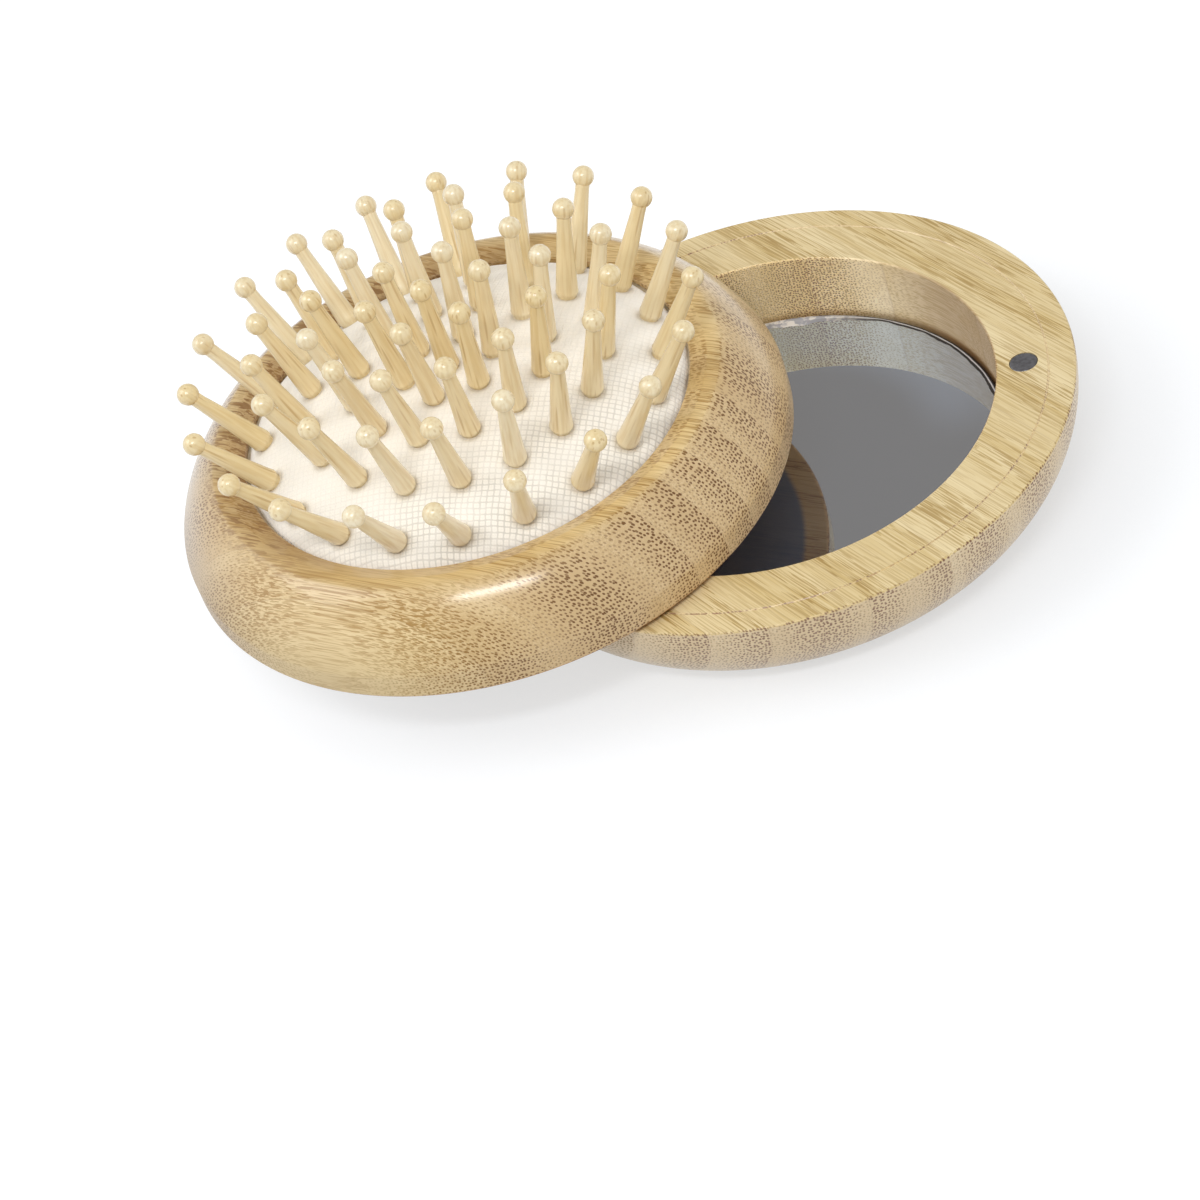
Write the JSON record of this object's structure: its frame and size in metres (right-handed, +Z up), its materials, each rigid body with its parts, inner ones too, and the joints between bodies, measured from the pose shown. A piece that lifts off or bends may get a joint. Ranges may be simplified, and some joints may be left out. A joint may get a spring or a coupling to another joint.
{
  "type": "folding hairbrush with mirror",
  "caption": "Round pocket hairbrush: a lid with a sunk mirror and a cushioned bamboo pin brush that swivels over it on a hidden pin and is held shut by magnets.",
  "frame": {"origin": "centre of the lid's flat base, on the surface it rests on", "axes": "+Z up, out of the mirror's face; +X to the right, away from the half-open brush, whose centre lies towards -X; +Y to the back, where the pivot is"},
  "size_m": [0.1231, 0.085, 0.0476],
  "materials": {
    "lid_bamboo": "satin varnish on laminated bamboo strips",
    "body_bamboo": "satin varnish on laminated bamboo strips",
    "pin_bamboo": "turned and polished, uncoated",
    "mirror": "back-silvered glass with a ground edge",
    "magnet_plate": "nickel-plated magnet",
    "pivot_steel": "turned stainless steel",
    "bush_nylon": "natural nylon",
    "washer_nylon": "black nylon",
    "adhesive_pad": "foam tape",
    "cushion_rubber": "natural rubber",
    "cushion_cloth": "plain-woven off-white cloth"
  },
  "bodies": {
    "lid": {"lid_shell": "lid_bamboo", "mirror_glass": "mirror", "mirror_adhesive": "adhesive_pad", "lid_magnet": "magnet_plate", "pivot_pin": "pivot_steel", "friction_washer": "washer_nylon"},
    "brush": {"brush_body": "body_bamboo", "brush_magnet": "magnet_plate", "pivot_bush": "bush_nylon", "retaining_ring": "pivot_steel"},
    "cushion": {"cushion_membrane": "cushion_rubber", "cushion_cover": "cushion_cloth", "pin_centre": "pin_bamboo", "pins_inner_row": "pin_bamboo", "pins_third_row": "pin_bamboo", "pins_second_row": "pin_bamboo", "pins_outer_row": "pin_bamboo"}
  },
  "joints": [
    {"name": "swivel", "type": "hinge", "parent": "lid", "child": "brush", "pos_m": [-0.01907, 0.02994, 0.0142], "axis": [0, 0, 1], "range_deg": [-115, 65]},
    {"name": "cushion_press", "type": "slide", "parent": "brush", "child": "cushion", "axis": [0, 0, -1], "range_m": [0, 0.002], "stiffness_N_per_m": 3000, "deforming": ["cushion_membrane", "cushion_cover"]}
  ]
}
